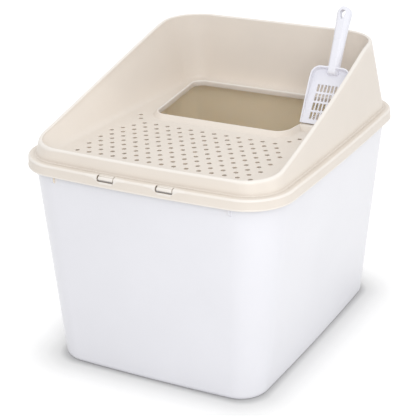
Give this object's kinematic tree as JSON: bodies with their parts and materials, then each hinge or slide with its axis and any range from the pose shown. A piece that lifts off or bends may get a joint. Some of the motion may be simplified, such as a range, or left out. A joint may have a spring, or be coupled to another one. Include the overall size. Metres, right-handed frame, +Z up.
{
  "type": "top entry litter box",
  "caption": "Deep tapered tub with a one-piece lid: sloping splash walls, perforated step deck and a rounded entry opening, with a sifting scoop docked beside it.",
  "frame": {"origin": "middle of the tub's underside, on the floor", "axes": "+Z up, +Y from the low front rim to the high back wall, +X to the scoop's side"},
  "size_m": [0.41, 0.478, 0.4781],
  "materials": {
    "tub_plastic": "satin moulded polypropylene, cool white",
    "lid_plastic": "satin moulded polypropylene, warm beige",
    "scoop_plastic": "glossy moulded plastic, cool white"
  },
  "bodies": {
    "tub": {"tub": "tub_plastic"},
    "lid": {"lid": "lid_plastic"},
    "scoop": {"scoop": "scoop_plastic"}
  },
  "joints": [
    {"name": "lid_lift", "type": "slide", "parent": "tub", "child": "lid", "axis": [0, 0, 1], "range_m": [0, 0.15]},
    {"name": "scoop_lift", "type": "slide", "parent": "lid", "child": "scoop", "axis": [0, 0, 1], "range_m": [0, 0.12]}
  ]
}
